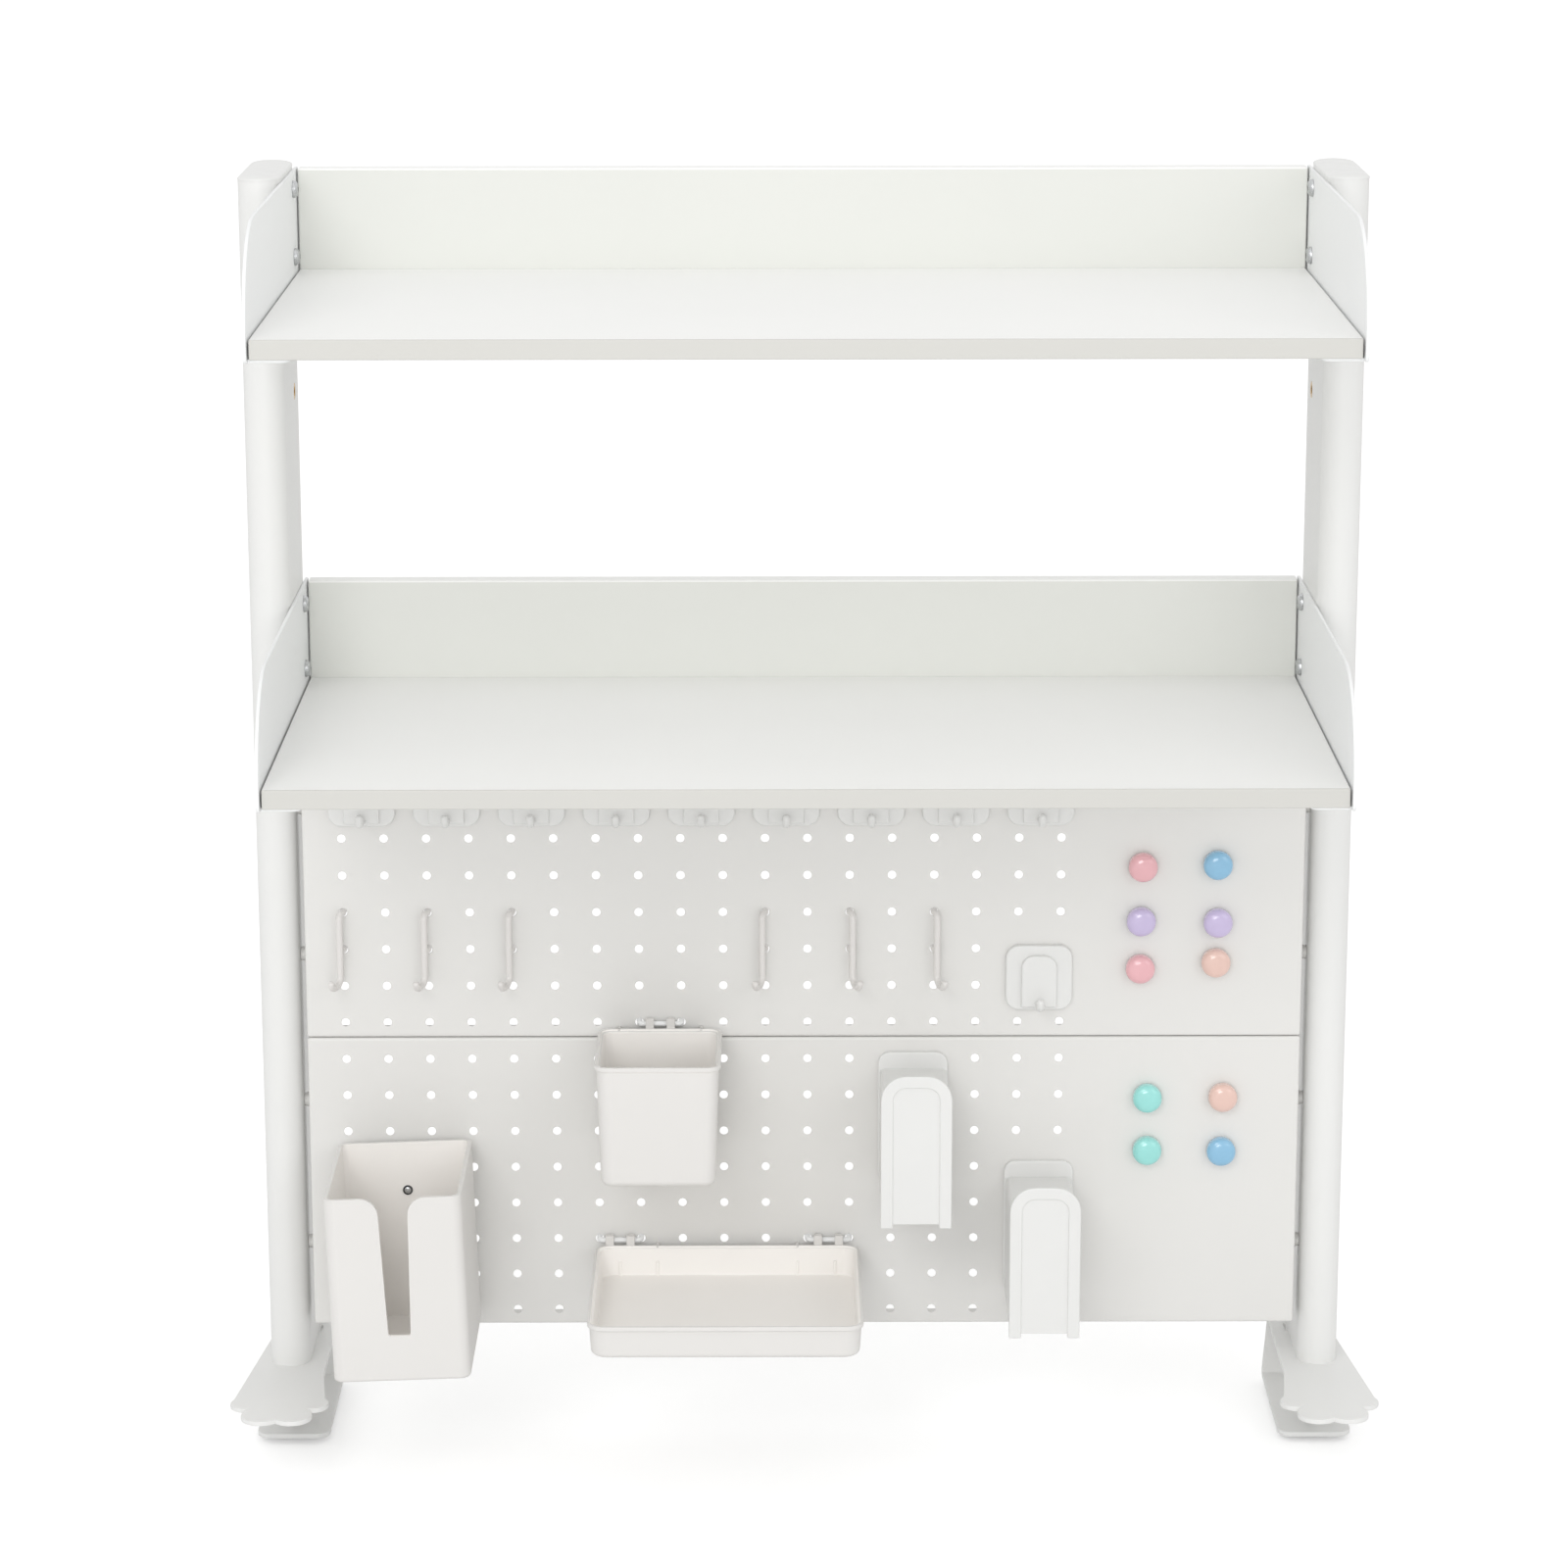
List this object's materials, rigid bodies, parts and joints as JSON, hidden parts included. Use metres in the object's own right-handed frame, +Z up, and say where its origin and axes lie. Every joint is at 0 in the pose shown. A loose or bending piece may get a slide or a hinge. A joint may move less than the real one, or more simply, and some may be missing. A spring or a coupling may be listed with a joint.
{
  "type": "desk-clamp pegboard organizer",
  "caption": "White desk-clamp organizer with railed shelves between two posts over pegboards that carry hooks, a pen cup, a tray, a tissue box and button magnets.",
  "frame": {"origin": "on the desk top, midway between the posts, in the plane of the pegboards' front faces", "axes": "+X to the user's right, +Y away from the user, +Z up"},
  "size_m": [0.6824, 0.298, 0.7646],
  "materials": {
    "white_steel": "satin",
    "white_board": "satin",
    "white_laminate": "satin",
    "white_plastic": "satin",
    "warm_white_plastic": "satin",
    "steel_fastener": "satin",
    "dark_screw": "satin",
    "brass_insert": "satin",
    "inner_plastic": "matte",
    "magnet_metal": "satin",
    "pink_cap": "gloss",
    "blue_cap": "gloss",
    "purple_cap": "gloss",
    "peach_cap": "gloss",
    "teal_cap": "gloss"
  },
  "bodies": {
    "frame": {"left_post": "white_steel", "left_clamp_bracket": "white_steel", "right_post": "white_steel", "right_clamp_bracket": "white_steel", "post_caps": "white_plastic", "post_foot_plugs": "inner_plastic", "post_base_screws": "steel_fastener", "post_thread_inserts": "brass_insert", "top_shelf_board": "white_laminate", "top_back_panel": "white_laminate", "top_left_side_plate": "white_steel", "top_right_side_plate": "white_steel", "lower_shelf_board": "white_laminate", "lower_back_panel": "white_laminate", "lower_left_side_plate": "white_steel", "lower_right_side_plate": "white_steel", "shelf_bolts": "steel_fastener", "pegboard_screws": "steel_fastener", "upper_pegboard": "white_board", "lower_pegboard": "white_board"},
    "left_foot": {"left_clamp_foot": "inner_plastic"},
    "left_screw": {"left_clamp_screw": "dark_screw"},
    "right_foot": {"right_clamp_foot": "inner_plastic"},
    "right_screw": {"right_clamp_screw": "dark_screw"},
    "pen_cup_hanger": {"pen_cup_hanger": "white_steel"},
    "pen_cup": {"pen_cup": "warm_white_plastic"},
    "tray_hangers": {"tray_hangers": "white_steel"},
    "tray": {"tray": "warm_white_plastic"},
    "tissue_box": {"tissue_box": "warm_white_plastic", "tissue_box_magnet": "magnet_metal"},
    "left_hanger": {"left_hanger": "white_plastic"},
    "right_hanger": {"right_hanger": "white_plastic"},
    "plate_hook_1": {"plate_hook_1": "white_plastic"},
    "plate_hook_2": {"plate_hook_2": "white_plastic"},
    "plate_hook_3": {"plate_hook_3": "white_plastic"},
    "plate_hook_4": {"plate_hook_4": "white_plastic"},
    "plate_hook_5": {"plate_hook_5": "white_plastic"},
    "plate_hook_6": {"plate_hook_6": "white_plastic"},
    "plate_hook_7": {"plate_hook_7": "white_plastic"},
    "plate_hook_8": {"plate_hook_8": "white_plastic"},
    "plate_hook_9": {"plate_hook_9": "white_plastic"},
    "plate_hook_10": {"plate_hook_10": "white_plastic"},
    "long_hook_1": {"long_hook_1": "white_steel"},
    "long_hook_2": {"long_hook_2": "white_steel"},
    "long_hook_3": {"long_hook_3": "white_steel"},
    "long_hook_4": {"long_hook_4": "white_steel"},
    "long_hook_5": {"long_hook_5": "white_steel"},
    "long_hook_6": {"long_hook_6": "white_steel"},
    "magnet_1": {"magnet_1": "pink_cap"},
    "magnet_2": {"magnet_2": "blue_cap"},
    "magnet_3": {"magnet_3": "purple_cap"},
    "magnet_4": {"magnet_4": "purple_cap"},
    "magnet_5": {"magnet_5": "pink_cap"},
    "magnet_6": {"magnet_6": "peach_cap"},
    "magnet_7": {"magnet_7": "teal_cap"},
    "magnet_8": {"magnet_8": "peach_cap"},
    "magnet_9": {"magnet_9": "teal_cap"},
    "magnet_10": {"magnet_10": "blue_cap"}
  },
  "joints": [
    {"name": "left_foot_travel", "type": "slide", "parent": "frame", "child": "left_foot", "axis": [0, 0, -1], "range_m": [0, 0.022]},
    {"name": "left_screw_turn", "type": "hinge", "parent": "left_foot", "child": "left_screw", "pos_m": [-0.3095, 0.0066, -0.038], "axis": [0, 0, -1], "range_deg": [0, 7920]},
    {"name": "right_foot_travel", "type": "slide", "parent": "frame", "child": "right_foot", "axis": [0, 0, -1], "range_m": [0, 0.022]},
    {"name": "right_screw_turn", "type": "hinge", "parent": "right_foot", "child": "right_screw", "pos_m": [0.3095, 0.0066, -0.038], "axis": [0, 0, -1], "range_deg": [0, 7920]},
    {"name": "pen_cup_lift", "type": "slide", "parent": "pen_cup_hanger", "child": "pen_cup", "axis": [0, 0, 1], "range_m": [0, 0.03]},
    {"name": "tray_lift", "type": "slide", "parent": "tray_hangers", "child": "tray", "axis": [0, 0, 1], "range_m": [0, 0.03]},
    {"name": "pen_cup_hanger_pull", "type": "slide", "parent": "frame", "child": "pen_cup_hanger", "axis": [0, -1, 0], "range_m": [0, 0.03]},
    {"name": "tray_hangers_pull", "type": "slide", "parent": "frame", "child": "tray_hangers", "axis": [0, -1, 0], "range_m": [0, 0.03]},
    {"name": "tissue_box_pull", "type": "slide", "parent": "frame", "child": "tissue_box", "axis": [0, -1, 0], "range_m": [0, 0.05]},
    {"name": "left_hanger_pull", "type": "slide", "parent": "frame", "child": "left_hanger", "axis": [0, -1, 0], "range_m": [0, 0.05]},
    {"name": "right_hanger_pull", "type": "slide", "parent": "frame", "child": "right_hanger", "axis": [0, -1, 0], "range_m": [0, 0.05]},
    {"name": "plate_hook_1_pull", "type": "slide", "parent": "frame", "child": "plate_hook_1", "axis": [0, -1, 0], "range_m": [0, 0.03]},
    {"name": "plate_hook_2_pull", "type": "slide", "parent": "frame", "child": "plate_hook_2", "axis": [0, -1, 0], "range_m": [0, 0.03]},
    {"name": "plate_hook_3_pull", "type": "slide", "parent": "frame", "child": "plate_hook_3", "axis": [0, -1, 0], "range_m": [0, 0.03]},
    {"name": "plate_hook_4_pull", "type": "slide", "parent": "frame", "child": "plate_hook_4", "axis": [0, -1, 0], "range_m": [0, 0.03]},
    {"name": "plate_hook_5_pull", "type": "slide", "parent": "frame", "child": "plate_hook_5", "axis": [0, -1, 0], "range_m": [0, 0.03]},
    {"name": "plate_hook_6_pull", "type": "slide", "parent": "frame", "child": "plate_hook_6", "axis": [0, -1, 0], "range_m": [0, 0.03]},
    {"name": "plate_hook_7_pull", "type": "slide", "parent": "frame", "child": "plate_hook_7", "axis": [0, -1, 0], "range_m": [0, 0.03]},
    {"name": "plate_hook_8_pull", "type": "slide", "parent": "frame", "child": "plate_hook_8", "axis": [0, -1, 0], "range_m": [0, 0.03]},
    {"name": "plate_hook_9_pull", "type": "slide", "parent": "frame", "child": "plate_hook_9", "axis": [0, -1, 0], "range_m": [0, 0.03]},
    {"name": "plate_hook_10_pull", "type": "slide", "parent": "frame", "child": "plate_hook_10", "axis": [0, -1, 0], "range_m": [0, 0.03]},
    {"name": "long_hook_1_pull", "type": "slide", "parent": "frame", "child": "long_hook_1", "axis": [0, -1, 0], "range_m": [0, 0.03]},
    {"name": "long_hook_2_pull", "type": "slide", "parent": "frame", "child": "long_hook_2", "axis": [0, -1, 0], "range_m": [0, 0.03]},
    {"name": "long_hook_3_pull", "type": "slide", "parent": "frame", "child": "long_hook_3", "axis": [0, -1, 0], "range_m": [0, 0.03]},
    {"name": "long_hook_4_pull", "type": "slide", "parent": "frame", "child": "long_hook_4", "axis": [0, -1, 0], "range_m": [0, 0.03]},
    {"name": "long_hook_5_pull", "type": "slide", "parent": "frame", "child": "long_hook_5", "axis": [0, -1, 0], "range_m": [0, 0.03]},
    {"name": "long_hook_6_pull", "type": "slide", "parent": "frame", "child": "long_hook_6", "axis": [0, -1, 0], "range_m": [0, 0.03]},
    {"name": "magnet_1_pull", "type": "slide", "parent": "frame", "child": "magnet_1", "axis": [0, -1, 0], "range_m": [0, 0.03]},
    {"name": "magnet_2_pull", "type": "slide", "parent": "frame", "child": "magnet_2", "axis": [0, -1, 0], "range_m": [0, 0.03]},
    {"name": "magnet_3_pull", "type": "slide", "parent": "frame", "child": "magnet_3", "axis": [0, -1, 0], "range_m": [0, 0.03]},
    {"name": "magnet_4_pull", "type": "slide", "parent": "frame", "child": "magnet_4", "axis": [0, -1, 0], "range_m": [0, 0.03]},
    {"name": "magnet_5_pull", "type": "slide", "parent": "frame", "child": "magnet_5", "axis": [0, -1, 0], "range_m": [0, 0.03]},
    {"name": "magnet_6_pull", "type": "slide", "parent": "frame", "child": "magnet_6", "axis": [0, -1, 0], "range_m": [0, 0.03]},
    {"name": "magnet_7_pull", "type": "slide", "parent": "frame", "child": "magnet_7", "axis": [0, -1, 0], "range_m": [0, 0.03]},
    {"name": "magnet_8_pull", "type": "slide", "parent": "frame", "child": "magnet_8", "axis": [0, -1, 0], "range_m": [0, 0.03]},
    {"name": "magnet_9_pull", "type": "slide", "parent": "frame", "child": "magnet_9", "axis": [0, -1, 0], "range_m": [0, 0.03]},
    {"name": "magnet_10_pull", "type": "slide", "parent": "frame", "child": "magnet_10", "axis": [0, -1, 0], "range_m": [0, 0.03]}
  ],
  "couplings": [
    {"joint": "left_screw_turn", "follows": "left_foot_travel", "rad_per_m": 6283.2},
    {"joint": "right_screw_turn", "follows": "right_foot_travel", "rad_per_m": 6283.2}
  ]
}
